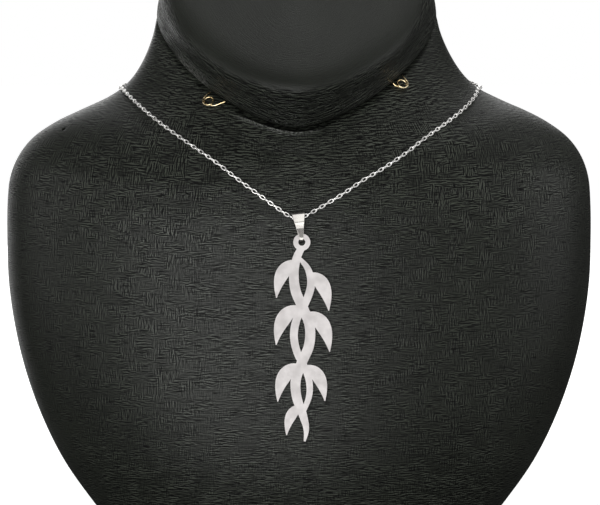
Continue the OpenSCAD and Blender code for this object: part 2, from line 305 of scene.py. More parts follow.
# The grain's threads: their pitch and run in millimetres, and the shift, in pitches, between the
# two noises whose difference draws them
THREAD_PITCH = 0.44
THREAD_RUN = 2.7
THREAD_STEP = 0.7
THREAD_RANGE = (-0.2, 0.2)
# How far the creases go down and the ridges up; in the colour they are painted shade and painted
# light
CREASE_AND_RIDGE = (-0.8, 0.72)
FADE_SCALE, FADE_RANGE, FADE_STRENGTH = (150, 230), (0.38, 0.62), (0.3, 0.9)


def grain_and_shade_lines(material, uv, coarse, upright):
    """Fine short creases and ridges, level or upright, that fade in and out. As the difference of
    two shifted noises they come in dark and light pairs, so in the colour the creases are painted
    shade and the ridges painted light.
    """
    across, along = 1 / (THREAD_PITCH * coarse * MM), 1 / (THREAD_RUN * coarse * MM)
    scale, step = (along, across, 1), (0, THREAD_STEP, 0)
    if upright:
        scale, step = (across, along, 1), (THREAD_STEP, 0, 0)
    noises = []
    for shift in ((0, 0, 0), step):
        where = add_node(material, "ShaderNodeMapping", Vector=uv, Scale=scale, Location=shift)
        noises.append(add_node(
            material, "ShaderNodeTexNoise", noise_dimensions="2D",
            Vector=where.outputs[0], Scale=1.0, Detail=1.0, Roughness=0.4,
        ).outputs["Fac"])
    slope = math_node(material, "SUBTRACT", *noises)
    line = ranged(material, slope, *THREAD_RANGE, *CREASE_AND_RIDGE)
    fade = ranged(material, stretched_noise(material, uv, FADE_SCALE), *FADE_RANGE, *FADE_STRENGTH)
    return math_node(material, "MULTIPLY", line, fade)


COVER_DARK = (0.002, 0.0022, 0.0016)
COVER_LIGHT = (0.098, 0.11, 0.0875)
FULL_TONE = 1.6
CLOUD_SCALE, CLOUD_RANGE, CLOUD_TONE = (26, 32), (0.25, 0.75), (0.43, 0.56)
PATCH_SCALE, PATCH_RANGE = (190, 240), (0.42, 0.58)
FOLD_SCALE, FOLD_RANGE = (170, 3000), (0.66, 0.76)
# The broken pattern of the cap's rubbed scuffs and of the painted highlight on the bust's lip
WEAR_AND_HIGHLIGHT_SCALE, WEAR_AND_HIGHLIGHT_RANGE = (1500, 900), (0.42, 0.58)
PORE_SCALE, PORE_TONE, PORE_HEIGHT = (3600, 4400), 0.3, 0.4
RIDGE_GLOSS = 0.25
COVER_SPECULAR = 0.33
RELIEF_DEPTH = 0.22


def leatherette(name, coarse, relief, rough, wear_and_highlight):
    """Charcoal leatherette, embossed like linen with fine crossing ridges, most of them level.

    Three layers painted on the mesh steer it: how deep the grain is, where it crosses, and where
    the colour goes to the wear colour, for rubbed scuffs on the cap and a painted highlight on the
    bust's lip.
    """
    material, shader = new_material(name)
    uv = add_node(material, "ShaderNodeUVMap", uv_map="cover").outputs[0]
    amount, crossed, rub = [
        add_node(material, "ShaderNodeAttribute", attribute_name=layer).outputs["Fac"]
        for layer in ("grain", "crossed", "rub")
    ]

    # Grain: level lines that give way to upright ones in patches, and a few deeper folds
    patches = ranged(material, stretched_noise(material, uv, PATCH_SCALE), *PATCH_RANGE)
    crossed = math_node(material, "MULTIPLY", crossed, patches)
    level, upright = [grain_and_shade_lines(material, uv, coarse, turned) for turned in (False, True)]
    change = math_node(material, "SUBTRACT", upright, level)
    change = math_node(material, "MULTIPLY", change, crossed)
    folds = ranged(material, stretched_noise(material, uv, FOLD_SCALE, 0), *FOLD_RANGE)
    ridge_and_shade = math_node(material, "SUBTRACT", math_node(material, "ADD", level, change), folds)
    ridge_and_shade = math_node(material, "MULTIPLY", ridge_and_shade, amount)
    pores = math_node(material, "SUBTRACT", stretched_noise(material, uv, PORE_SCALE), 0.5)

    # Colour: cloudy charcoal, with painted shade in the creases and folds and painted light on the
    # ridges, worn to grey where the cap is rubbed, and painted lighter on the lip under the crease
    # as a painted highlight
    cloud = stretched_noise(material, uv, CLOUD_SCALE, 3)
    cloud = ranged(material, cloud, *CLOUD_RANGE, *CLOUD_TONE)
    # The ridges and creases lighten and darken the colour: painted light and painted shade of the
    # relief
    tone = math_node(material, "ADD", cloud, ridge_and_shade)
    tone = math_node(material, "ADD", tone, math_node(material, "MULTIPLY", pores, PORE_TONE))
    colour = mixed(material, ranged(material, tone, 0.0, FULL_TONE), COVER_DARK, COVER_LIGHT)
    # The rub layer turns the colour to the wear colour: rubbed scuffs on the cap, a painted
    # highlight on the bust's lip
    broken = ranged(material, stretched_noise(material, uv, WEAR_AND_HIGHLIGHT_SCALE, 3), *WEAR_AND_HIGHLIGHT_RANGE)
    colour = mixed(material, math_node(material, "MULTIPLY", rub, broken), colour, wear_and_highlight)
    material.node_tree.links.new(colour, shader.inputs["Base Color"])

    # Surface: the ridges are a little glossier than the creases
    gloss = math_node(material, "MULTIPLY", ridge_and_shade, RIDGE_GLOSS)
    dull = math_node(material, "SUBTRACT", rough, gloss)
    material.node_tree.links.new(dull, shader.inputs["Roughness"])
    shader.inputs["Specular IOR Level"].default_value = COVER_SPECULAR
    height = math_node(material, "ADD", math_node(material, "MULTIPLY", pores, PORE_HEIGHT), ridge_and_shade)
    depth = RELIEF_DEPTH * MM
    bump = add_node(material, "ShaderNodeBump", Height=height, Strength=relief, Distance=depth)
    material.node_tree.links.new(bump.outputs[0], shader.inputs["Normal"])
    return material


def ring_angles():
    """The angles of the cover's columns, right round from the back and closer at the seam."""
    even = np.linspace(-180, 180, BUST_SIDES, endpoint=False)
    clear = [a for a in even if abs(abs(a) - 180) > SEAM_SPAN]
    seam = [(180 + a) if a < 0 else (-180 + a) for a in SEAM_COLUMNS]
    return sorted(clear + seam)


def seam_sink(z, angle):
    """How far the seam down the back draws the cover in, in millimetres."""
    off = (180 - abs(angle)) * math.radians(outline_at(z)[1])
    return SEAM_DEPTH * math.exp(-((off / SEAM_WIDTH) ** 2))


# The lip and the rolled rim: side heights and sizes in millimetres, and where each begins and ends
# in degrees from the front
LIP_RING, LIP_SPREAD, LIP_HEIGHT = 176.8, 1.2, 1.1
LIP_LEFT, LIP_RIGHT = (-34, -22), (6, 16)
ROLL_IN = 1.5
ROLL_RINGS = (178.2, RIM_Z + 1.5)
ROLL_LEFT, ROLL_RIGHT = (-50, -20), (10, 45)


def near_rim(z, angle):
    """How far the cover stands proud, in millimetres, with its soft lip and rolled rim."""
    lip = math.exp(-(((z - LIP_RING) / LIP_SPREAD) ** 2))
    lip *= smooth_step(angle, *LIP_LEFT) * (1 - smooth_step(angle, *LIP_RIGHT))
    deep = (1 + smooth_step(angle, *ROLL_LEFT) * (1 - smooth_step(angle, *ROLL_RIGHT))) / 2
    return LIP_HEIGHT * lip - ROLL_IN * deep * smooth_step(z, *ROLL_RINGS) ** 2


bust_angles = ring_angles()
bust_heights = [
    a + (b - a) * k / BUST_STEPS
    for a, b in zip(RINGS[:-1, 0], RINGS[1:, 0])
    for k in range(BUST_STEPS)
] + [RIM_Z]
bust_rings = [
    [off_cover(z, a, near_rim(z, a) - seam_sink(z, a)) for a in bust_angles]
    for z in bust_heights
]
bust_mesh = skin_mesh("neck_bust_cover", bust_rings)


def paint(mesh, **layers):
    """Lay named values over a mesh's points for its material to read."""
    for layer, values in layers.items():
        mesh.attributes.new(layer, "FLOAT", "POINT").data.foreach_set("value", values)


# The grain is deepest low down and at the neck, and pulled smooth where the cover is stretched over
# the shoulders and sides. It runs level in the middle and crosses at the sides, and the lip under
# the crease is painted lighter as a painted highlight. Ranges are in millimetres up or from the
# middle, or in degrees for a turn.
FOOT, CHEST_TOP, THROAT, NECK = (22, 50), (100, 128), (118, 134), (140, 160)
SHOULDER_HEIGHT, SHOULDER_OUT = (128, 150), (42, 62)
SIDE_TURN = (52, 78)
CROSSED_OUT, CROSSED_HEIGHT = (18, 42), (30, 65)
GRAIN, GRAIN_LOW_OR_HIGH, GRAIN_AT_THROAT = 0.85, 0.8, 0.4
SMOOTH_SIDES, SMOOTH_SHOULDERS = 0.55, 0.6
CROSSED_LEAST, CROSSED_MOST, LEVEL_NECK = 0.35, 1, 0.8

grain, crossed, rubbed = [], [], []
for z, ring in zip(bust_heights, bust_rings):
    for angle, point in zip(bust_angles, ring):
        x, y, height = point / MM
        out = abs(x)
        off_front = math.degrees(math.atan2(out, FORM_Y - y))
        shoulder = smooth_step(height, *SHOULDER_HEIGHT) * smooth_step(out, *SHOULDER_OUT)
        low_or_high = 1 - smooth_step(height, *FOOT) + smooth_step(height, *CHEST_TOP)
        deep = GRAIN + GRAIN_LOW_OR_HIGH * low_or_high
        deep += GRAIN_AT_THROAT * smooth_step(height, *THROAT)
        deep *= 1 - SMOOTH_SIDES * smooth_step(off_front, *SIDE_TURN)
        grain.append(deep * (1 - SMOOTH_SHOULDERS * shoulder))
        sideways = smooth_step(out, *CROSSED_OUT) * smooth_step(height, *CROSSED_HEIGHT)
        crossing = CROSSED_LEAST + (CROSSED_MOST - CROSSED_LEAST) * sideways
        crossed.append(crossing * (1 - LEVEL_NECK * smooth_step(height, *NECK)))
        # The raised lip is painted lighter: a painted highlight under the crease
        rubbed.append(min(1.0, max(0.0, near_rim(z, angle) / LIP_HEIGHT)))
paint(bust_mesh, grain=grain, crossed=crossed, rub=rubbed)

# Two pin holes in the left shoulder, where jewellery was pinned: ring height, angle, width, depth
PIN_HOLES = [[147.2, -70.5, 1.5, 2.4], [169.7, -46.7, 0.6, 1.2]]
PIN_SIDES = 20
PIN_TIP, PIN_RIM = 0.3, 0.72


def cone_mesh(centre, normal, width, depth):
    """A closed cone whose tip lies a depth under the surface, and whose rim stands over it."""
    cutter = bmesh.new()
    turn = normal.to_track_quat("Z", "Y").to_matrix().to_4x4()
    bmesh.ops.create_cone(
        cutter, cap_ends=True, segments=PIN_SIDES, radius1=width * PIN_TIP, radius2=width * PIN_RIM,
        depth=2 * depth, matrix=Matrix.Translation(centre) @ turn,
    )
    mesh = bpy.data.meshes.new("pin")
    cutter.to_mesh(mesh)
    cutter.free()
    return mesh


bust_object = bpy.data.objects.new("bust_blank", bust_mesh)
scene.collection.objects.link(bust_object)
pins = []
for z, angle, width, depth in PIN_HOLES:
    pin_mesh = cone_mesh(cover(z, angle), cover_normal(z, angle), width * MM, depth * MM)
    pin = bpy.data.objects.new("pin", pin_mesh)
    scene.collection.objects.link(pin)
    pins.append(pin)
    cut = bust_object.modifiers.new("pin hole", "BOOLEAN")
    cut.operation = "DIFFERENCE"
    cut.solver = "EXACT"
    cut.object = pin
graph = bpy.context.evaluated_depsgraph_get()
bust_mesh = bpy.data.meshes.new_from_object(bust_object.evaluated_get(graph))
for blank in [bust_object, *pins]:
    bpy.data.objects.remove(blank)

# The wear colour of the bust's cover is the painted highlight on its lip
cover_material = leatherette(
    "charcoal_leatherette", coarse=1.0, relief=0.25, rough=0.47, wear_and_highlight=(0.2, 0.205, 0.19),
)
place("neck_bust_cover", bust_mesh, cover_material, "root", "neck_bust")


# Cap: a foam pad on the slanted top of the neck, under the same leatherette, which is drawn down
# over its edge and tucked in all round. Each row of CAP_ROWS is a height above the rim's plane, and
# how far the outline lies inside the rim at the front and at the sides.
CAP_ROWS = np.array([
    [0, 1.4, 1.6],
    [0.8, 0, 0.4],
    [2.5, -0.8, 0.2],
    [5, -1, 0.6],
    [7.5, -0.9, 1.5],
    [9.8, -0.8, 2.3],
    [11.8, -0.4, 3.6],
    [13.4, 0.7, 5.4],
    [14.6, 3, 8.6],
    [15.3, 7, 13.2],
    [14.8, 15, 20],
    [14.95, 27, 30],
    [15, 42, 42],
])
CAP_GAP = 0.2
FRONT_LIFT = 0.3
FULLER_FRONT, FULLER_HEIGHT = 0.3, (5, 14)
CAP_SIDES = 240
CAP_STEPS = 5


def spline(points, steps):
    """A smooth curve through points, with a number of steps from each to the next."""
    p = np.array(points, float)
    out = []
    for i in range(len(p) - 1):
        leave = (p[i + 1] - p[max(i - 1, 0)]) / 2
        arrive = (p[min(i + 2, len(p) - 1)] - p[i]) / 2
        for k in range(steps):
            t = k / steps
            out.append(
                p[i] * (2 * t**3 - 3 * t**2 + 1) + leave * (t**3 - 2 * t**2 + t)
                + p[i + 1] * (3 * t**2 - 2 * t**3) + arrive * (t**3 - t**2)
            )
    return np.array(out + [p[-1]])


def cap_point(row, angle):
    """A point of the cap, in metres, on a row of CAP_ROWS."""
    _, half, front, behind, tilt, front_n, back_n, _, lean = RINGS[-1]
    c, s = math.cos(math.radians(angle)), math.sin(math.radians(angle))
    height, at_front, at_side = row
    front_n += FULLER_FRONT * smooth_step(height, *FULLER_HEIGHT)
    inset = at_front * c**2 + at_side * s**2
    reach, n = (front, front_n) if c > 0 else (behind, back_n)
    tilt = math.radians(tilt)
    along = (reach - inset) * bent(c, n)
    height *= 1 + FRONT_LIFT * (along + behind) / (front + behind)
    return Vector((
        lean + (half - inset) * bent(s, n),
        FORM_Y - along * math.cos(tilt) - (height + CAP_GAP) * math.sin(tilt),
        RIM_Z - along * math.sin(tilt) + (height + CAP_GAP) * math.cos(tilt),
    )) * MM


SIM_COLUMNS = 5
HELD_HEIGHT = 1
SWELL_FRAMES = 16
SWELL_PRESSURE = 10
SWELL_LIMIT, SWELL_HEIGHT = 1, (3, 9)


def swelling(mesh, held, limits):
    """How each point of a pad moves as its cover swells like cloth: outwards, up to its limit."""
    pad = bpy.data.objects.new("swelling_pad", mesh)
    scene.collection.objects.link(pad)
    pad.vertex_groups.new(name="held").add(held, 1.0, "REPLACE")
    cover_cloth = pad.modifiers.new("cover", "CLOTH")
    cloth = cover_cloth.settings
    cloth.vertex_group_mass = "held"
    cloth.use_pressure = True
    cloth.uniform_pressure_force = SWELL_PRESSURE
    cloth.effector_weights.gravity = 0
    cover_cloth.point_cache.frame_end = SWELL_FRAMES
    for number in range(1, SWELL_FRAMES + 1):
        scene.frame_set(number)
    after = pad.evaluated_get(bpy.context.evaluated_depsgraph_get()).to_mesh()
    moves = np.array([(b.co - a.co)[:] for a, b in zip(mesh.vertices, after.vertices)])
    scene.frame_set(1)
    bpy.data.objects.remove(pad)
    normals = np.array([v.normal[:] for v in mesh.vertices])
    outward = np.clip((moves * normals).sum(axis=1), 0, limits * MM)
    return outward[:, None] * normals


cap_angles = np.linspace(-180, 180, CAP_SIDES, endpoint=False)
cap_profile = spline(CAP_ROWS, CAP_STEPS).tolist()
cap_rings = [[cap_point(row, a) for a in cap_angles] for row in cap_profile]
cap_middle = sum(cap_rings[-1], Vector()) / CAP_SIDES
cap_mesh = skin_mesh("neck_cap_pad", cap_rings, centre_top=cap_middle)

# The cover swells on a coarser copy of the pad, held where it is tucked in, and its moves are laid
# smoothly over the pad's own points.
sim_rings = [ring[::SIM_COLUMNS] for ring in cap_rings[::CAP_STEPS]]
sim_mesh = skin_mesh("sim_pad", sim_rings, centre_top=cap_middle)
sim_heights = np.repeat(CAP_ROWS[:, 0], len(sim_rings[0])).tolist() + [CAP_ROWS[-1][0]]
swell_limits = np.array([SWELL_LIMIT * smooth_step(h, *SWELL_HEIGHT) for h in sim_heights])
held = [i for i, h in enumerate(sim_heights) if h < HELD_HEIGHT]
moves = swelling(sim_mesh, held, swell_limits)
round_moves = np.swapaxes(moves[:-1].reshape(len(sim_rings), -1, 3), 0, 1)
round_moves = np.concatenate([round_moves[-1:], round_moves, round_moves[:2]])
round_moves = spline(round_moves, SIM_COLUMNS)[SIM_COLUMNS:-SIM_COLUMNS - 1]
cap_moves = spline(np.swapaxes(round_moves, 0, 1), CAP_STEPS).reshape(-1, 3)
cap_points = np.array([v.co[:] for v in cap_mesh.vertices])
cap_points += np.concatenate([cap_moves, moves[-1:]])
cap_mesh.vertices.foreach_set("co", cap_points.ravel())
cap_mesh.update()

# The grain is deepest in the band at the front, fades where the cover is tucked in, and is pulled
# nearly smooth over the face. The edge is rubbed to the left of the left hook.
RUB_FROM, RUB_TO, RUB_FADE = -63, -42, 4
RUB_HEIGHT = 6
BAND_GRAIN, FRONT_GRAIN, FRONT_COSINE = 1.3, 0.9, (0.6, 0.95)
TUCK_HEIGHT = (-0.5, 3)
SMOOTH_FACE, FACE_HEIGHT = 0.97, (10.5, 14)
MIDDLE_GRAIN = 0.05
CAP_CROSSED = 0.15

cap_grain, cap_rub = [], []
for h, _, _ in cap_profile:
    for a in cap_angles:
        deep = BAND_GRAIN + FRONT_GRAIN * smooth_step(math.cos(math.radians(a)), *FRONT_COSINE)
        deep *= 1 - SMOOTH_FACE * smooth_step(h, *FACE_HEIGHT)
        cap_grain.append(deep * smooth_step(h, *TUCK_HEIGHT))
        inside = max(0, min(1, (a - RUB_FROM) / RUB_FADE, (RUB_TO - a) / RUB_FADE))
        cap_rub.append(inside * max(0, 1 - h / RUB_HEIGHT))
cap_grain.append(MIDDLE_GRAIN)
cap_rub.append(0)
paint(cap_mesh, rub=cap_rub, grain=cap_grain, crossed=[CAP_CROSSED] * len(cap_grain))
cap_material = leatherette(
    "charcoal_leatherette_cap", coarse=1.2, relief=0.9, rough=0.44, wear_and_highlight=(0.3, 0.3, 0.28),
)
cap = place("neck_cap_pad", cap_mesh, cap_material, "root", "neck_cap")


# Hooks: two small eyes of bent brass wire, whose ends run in under the cap's edge. Each comes in
# high, goes round its coil, sinks under its own first strand and goes out low.
HOOK_WIRE = 0.5
HOOK_WIDTH = 3.7
HOOK_SHRINK = 0.3
HOOK_CLIMB = 0.62
HOOK_SINKS = (0.3, 0.52)
HOOK_TURN = 14
HOOK_GAP = 0.32
HOOK_SIDES, HOOK_STEPS = 12, 4
# The coil's middle as a ring height and an angle, its first and last turn in degrees, and the
# wire's two ends in millimetres right, up and out of the cover
HOOKS = {
    "hook_left": {
        "at": (175.5, -41.2), "turns": (145, 585),
        "in": [[-0.2, 3.4, 0], [-0.9, 2.3, 0.5]],
        "out": [[1.9, -1.7, 0], [3.4, -1.15, 0], [5.4, -0.2, 0]],
    },
    "hook_right": {
        "at": (177.7, 50.6), "turns": (35, -490),
        "in": [[0.9, 3.2, 0], [1.1, 2.1, 0.5]],
        "out": [[-2.4, -0.6, 0], [-3.1, 0.3, 0]],
    },
}


# Rings of a domed end: how far out each lies and how wide it is, in radii of the tube
DOME = ((0.35, 0.94), (0.75, 0.66), (0.97, 0.25))


def tube(line, radii, sides, closed=False):
    """The points and faces of a round tube along a line, closed into a ring or with domed ends."""
    line = [Vector(p) for p in line]
    before, after = line[-1:] + line[:-1], line[1:] + line[:1]
    if not closed:
        before[0], after[-1] = line[0], line[-1]
    stations = [(p, (b - a).normalized(), r) for p, a, b, r in zip(line, before, after, radii)]
    if not closed:
        (start, first, r0), (end, final, r1) = stations[0], stations[-1]
        stations = [(start - first * r0 * d, first, r0 * r) for d, r in reversed(DOME)] + stations
        stations += [(end + final * r1 * d, final, r1 * r) for d, r in DOME]
    side = stations[0][1].orthogonal().normalized()
    points = []
    for centre, along, radius in stations:
        side = (side - along * side.dot(along)).normalized()
        other = along.cross(side)
        for k in range(sides):
            a = 2 * math.pi * k / sides
            points.append(centre + radius * (math.cos(a) * side + math.sin(a) * other))
    rows = len(stations)
    faces = ring_faces(rows, sides, closed)
    if not closed:
        faces += [tuple(range(sides - 1, -1, -1)), tuple(range((rows - 1) * sides, rows * sides))]
    return points, faces


def joined(name, parts):
    """One smooth mesh of several tubes."""
    points, faces = [], []
    for part_points, part_faces in parts:
        faces += [tuple(len(points) + i for i in face) for face in part_faces]
        points += part_points
    mesh = bpy.data.meshes.new(name)
    mesh.from_pydata(points, [], faces)
    mesh.shade_smooth()
    return mesh


METAL_CLOUD = 260.0
METAL_RANGE = (0.3, 0.7)
METAL_DEPTH = 0.02


def metal(name, colour, deep, rough, grain_scale, relief, stretch=(1, 1, 1), swing=0.08):
    """A metal with a fine drawn or brushed grain, duller and darker where it has been handled."""
    material, shader = new_material(name)
    where = add_node(material, "ShaderNodeTexCoord").outputs["Object"]
    mapping = add_node(material, "ShaderNodeMapping", Vector=where, Scale=stretch)
    grain = add_node(
        material, "ShaderNodeTexNoise",
        Vector=mapping.outputs[0], Scale=grain_scale, Detail=3.0, Roughness=0.6,
    ).outputs["Fac"]
    cloud = add_node(material, "ShaderNodeTexNoise", Vector=where, Scale=METAL_CLOUD, Detail=2.0)
    handled = ranged(material, cloud.outputs["Fac"], *METAL_RANGE)
    tint = mixed(material, handled, deep, colour)
    dull = ranged(material, grain, *METAL_RANGE, rough - swing, rough + swing)
    depth = METAL_DEPTH * MM
    bump = add_node(material, "ShaderNodeBump", Height=grain, Strength=relief, Distance=depth)
    material.node_tree.links.new(tint, shader.inputs["Base Color"])
    material.node_tree.links.new(dull, shader.inputs["Roughness"])
    material.node_tree.links.new(bump.outputs[0], shader.inputs["Normal"])
    shader.inputs["Metallic"].default_value = 1.0
    return material


brass = metal(
    "bent_brass_wire", colour=(0.98, 0.85, 0.58), deep=(0.75, 0.57, 0.3),
    rough=0.22, grain_scale=3000.0, relief=0.2,
)
for name, hook in HOOKS.items():
    z, angle = hook["at"]
    begin, end = hook["turns"]
    count = math.ceil(abs(end - begin) / HOOK_TURN)
    coil = []
    for i in range(count + 1):
        share = i / count
        sunk = smooth_step(share, *HOOK_SINKS)
        turn = math.radians(begin + (end - begin) * share)
        radius = HOOK_WIDTH / 2 - HOOK_SHRINK * sunk
        coil.append([radius * math.cos(turn), radius * math.sin(turn), HOOK_CLIMB * (1 - sunk)])
    normal = cover_normal(z, angle)
    right = Vector((0, 0, 1)).cross(normal).normalized()
    up = normal.cross(right)
    middle = off_cover(z, angle, HOOK_WIRE / 2 + HOOK_GAP)
    line = [
        middle + MM * (x * right + y * up + lift * normal)
        for x, y, lift in spline(hook["in"] + coil + hook["out"], HOOK_STEPS).tolist()
    ]
    hook_mesh = joined(name + "_wire", [tube(line, [HOOK_WIRE / 2 * MM] * len(line), HOOK_SIDES)])
    place(name + "_wire", hook_mesh, brass, "root", name)


# Chain: a fine cable chain of oval silver-coloured links, each turned nearly a quarter round from
# the last, lying on the cover from the clasp behind the neck down to the bail and back. The route's
# rows are an angle round the form and the height of the outline that it lies on there.
ROUTE_LEFT = [
    [-174, 155.3], [-163, 155], [-151, 154.6], [-139, 154.2], [-127, 154.4], [-115, 155.5],
    [-103, 157.4], [-91, 158.7], [-80, 158.9], [-70, 158.6], [-60, 158], [-50, 157.1],
    [-40, 155.8], [-29.5, 153.6], [-20, 149.3], [-13, 141.9], [-7.8, 135.2], [-4, 128.2],
]
ROUTE_RIGHT = [
    [3.8, 128.2], [7.5, 134.2], [12, 140.4], [18.5, 146.8], [27.5, 152.4], [37.5, 154.9],
    [48, 156.2], [58, 157], [69, 157.8], [80, 158.7], [91, 158.6], [103, 157.4],
    [115, 155.5], [127, 154.4], [139, 154.2], [151, 154.6], [163, 155], [174, 155.3],
]
ROUTE_STEPS = 16
CHAIN_WIDTH = 1.4
CHAIN_GAP = 0.32 / 3
LINK_PITCH = 1.6
LINK_WIRE = 0.42
LINK_STEPS, WIRE_SIDES = 20, 8
FACE_FRONT = 2
LINK_ROLLS = (4, 78)
ROLL_PLAY = 5
EYELET_RING, EYELET_OFF, EYELET_X = 112.4, 1.8, 0.9
PLATE_TILT = math.radians(2)
BAIL_LEAN = math.radians(7)
BAIL_DROP = 8.2
BAIL_TOP_WIDTH = 4.5

eyelet = off_cover(EYELET_RING, 0, EYELET_OFF)
eyelet.x = EYELET_X * MM
plate_up = Vector((0, math.sin(PLATE_TILT), math.cos(PLATE_TILT)))
plate_back = Vector((0, math.cos(PLATE_TILT), -math.sin(PLATE_TILT)))
level = Vector((1, 0, 0))
bail_up = plate_up * math.cos(BAIL_LEAN) - level * math.sin(BAIL_LEAN)
bail_right = plate_up * math.sin(BAIL_LEAN) + level * math.cos(BAIL_LEAN)
bail_top = eyelet + BAIL_DROP * MM * bail_up
chain_off = CHAIN_WIDTH / 2 + CHAIN_GAP
in_bail = BAIL_TOP_WIDTH / 2 * MM
knots = [(off_cover(z, a, chain_off), cover_normal(z, a)) for a, z in ROUTE_LEFT]
knots += [(bail_top + s * in_bail * bail_right, -plate_back) for s in (-1, 0, 1)]
knots += [(off_cover(z, a, chain_off), cover_normal(z, a)) for a, z in ROUTE_RIGHT]
route = spline([p[:] for p, _ in knots], ROUTE_STEPS)
outward = spline([n[:] for _, n in knots], ROUTE_STEPS)
gone = np.concatenate([[0], np.cumsum(np.linalg.norm(np.diff(route, axis=0), axis=1))])
link_count = int((gone[-1] - LINK_WIRE * MM) / (LINK_PITCH * MM))
link_at = gone[-1] / 2 + (np.arange(link_count) - (link_count - 1) / 2) * LINK_PITCH * MM
half_pitch = LINK_PITCH / 2 * MM


def on_route(table, distance):
    """The values of a table along the route at distances from its start."""
    return np.stack([np.interp(distance, gone, table[:, k]) for k in range(3)], axis=1)


link_middle = on_route(route, link_at)
link_along = on_route(route, link_at + half_pitch) - on_route(route, link_at - half_pitch)
link_out = on_route(outward, link_at) + FACE_FRONT * np.array([0, -1, 0])
chance = np.random.default_rng(7)
link_play = chance.uniform(-ROLL_PLAY, ROLL_PLAY, link_count)
link_roll = np.radians(np.resize(LINK_ROLLS, link_count) + link_play)
chain_points = bpy.data.meshes.new("chain_points")
chain_points.from_pydata(link_middle.tolist(), [], [])
for key, values in (("along", link_along), ("out", link_out)):
    layer = chain_points.attributes.new(key, "FLOAT_VECTOR", "POINT")
    layer.data.foreach_set("vector", values.ravel())
chain_points.attributes.new("roll", "FLOAT", "POINT").data.foreach_set("value", link_roll)

tree = bpy.data.node_groups.new("cable_links", "GeometryNodeTree")
tree.is_modifier = True
tree.interface.new_socket("Geometry", in_out="INPUT", socket_type="NodeSocketGeometry")
tree.interface.new_socket("Geometry", in_out="OUTPUT", socket_type="NodeSocketGeometry")
link_sizes = {
    "Link length": (LINK_PITCH + 2 * LINK_WIRE) * MM,
    "Link width": CHAIN_WIDTH * MM,
    "Wire thickness": LINK_WIRE * MM,
}
link_sockets = {
    key: tree.interface.new_socket(key, in_out="INPUT", socket_type="NodeSocketFloat").identifier
    for key in link_sizes
}
metal_socket = tree.interface.new_socket(
    "Metal", in_out="INPUT", socket_type="NodeSocketMaterial"
).identifier

link_node = functools.partial(grow, tree)
given = link_node("NodeGroupInput").outputs
thickness = given["Wire thickness"]
axes = [
    link_node("ShaderNodeMath", operation="SUBTRACT", i0=given[size], i1=thickness).outputs[0]
    for size in ("Link length", "Link width")
]
oval_size = link_node("ShaderNodeCombineXYZ", X=axes[0], Y=axes[1], Z=1.0)
oval = link_node("GeometryNodeCurvePrimitiveCircle", Resolution=LINK_STEPS, Radius=0.5)
oval = link_node("GeometryNodeTransform", Geometry=oval.outputs[0], Scale=oval_size.outputs[0])
half = link_node("ShaderNodeMath", operation="MULTIPLY", i0=thickness, i1=0.5)
wire = link_node("GeometryNodeCurvePrimitiveCircle", Resolution=WIRE_SIDES, Radius=half.outputs[0])
link = link_node("GeometryNodeCurveToMesh", i0=oval.outputs[0], i1=wire.outputs[0])
link = link_node("GeometryNodeSetShadeSmooth", Geometry=link.outputs[0])
along, out = [
    link_node("GeometryNodeInputNamedAttribute", data_type="FLOAT_VECTOR", Name=key).outputs[0]
    for key in ("along", "out")
]
roll = link_node("GeometryNodeInputNamedAttribute", data_type="FLOAT", Name="roll").outputs[0]
lie = link_node("FunctionNodeAlignRotationToVector", axis="X", Vector=along)
lie = link_node(
    "FunctionNodeAlignRotationToVector", axis="Z", pivot_axis="X",
    Rotation=lie.outputs[0], Vector=out,
)
turn = link_node("FunctionNodeAxisAngleToRotation", Axis=(1, 0, 0), Angle=roll)
lie = link_node(
    "FunctionNodeRotateRotation", rotation_space="LOCAL", i0=lie.outputs[0], i1=turn.outputs[0],
)
points = link_node("GeometryNodeMeshToPoints", Mesh=given["Geometry"])
links = link_node(
    "GeometryNodeInstanceOnPoints",
    Points=points.outputs[0], Instance=link.outputs[0], Rotation=lie.outputs[0],
)
links = link_node("GeometryNodeRealizeInstances", Geometry=links.outputs[0])
links = link_node("GeometryNodeSetMaterial", Geometry=links.outputs[0], Material=given["Metal"])
link_node("NodeGroupOutput", Geometry=links.outputs[0])

chain_metal = metal(
    "polished_chain", colour=(0.92, 0.91, 0.89), deep=(0.72, 0.71, 0.69),
    rough=0.28, grain_scale=2500.0, relief=0.1,
)
chain_blank = bpy.data.objects.new("chain_blank", chain_points)
scene.collection.objects.link(chain_blank)
maker = chain_blank.modifiers.new("links", "NODES")
maker.node_group = tree
for key, value in link_sizes.items():
    maker[link_sockets[key]] = value
maker[metal_socket] = chain_metal
graph = bpy.context.evaluated_depsgraph_get()
chain_mesh = bpy.data.meshes.new_from_object(chain_blank.evaluated_get(graph))
bpy.data.objects.remove(chain_blank)
place("chain_links", chain_mesh, chain_metal, "root", "chain")


# Clasp: a closed lobster claw behind the neck, a drop-shaped loop with a thumb lever and a barrel
# at its narrow end, and the small rings that join it to the chain's two ends. It has no joint.
CLASP_RING = 155.3
CLASP_OFF = 1.1
CLAW_MIDDLE, CLAW_REACH, CLAW_WIDTH, CLAW_NARROW = -1.9, 3.1, 1.45, 0.62
CLAW_WIRE = (0.42, 0.62)
CLAW_STEPS, CLAW_SIDES = 48, 14
LEVER = [[-3.2, 1.1, 0.1], [-3.7, 1.75, 0.15], [-3.4, 2.0, 0.15]]
LEVER_WIRE, LEVER_STEPS, LEVER_SIDES = 0.3, 4, 10
BARREL = [[1.2, 0, 0], [1.7, 0, 0], [2.5, 0, 0], [2.9, 0, 0]]
BARREL_WIRE, BARREL_SIDES = (0.45, 0.68, 0.68, 0.4), 16
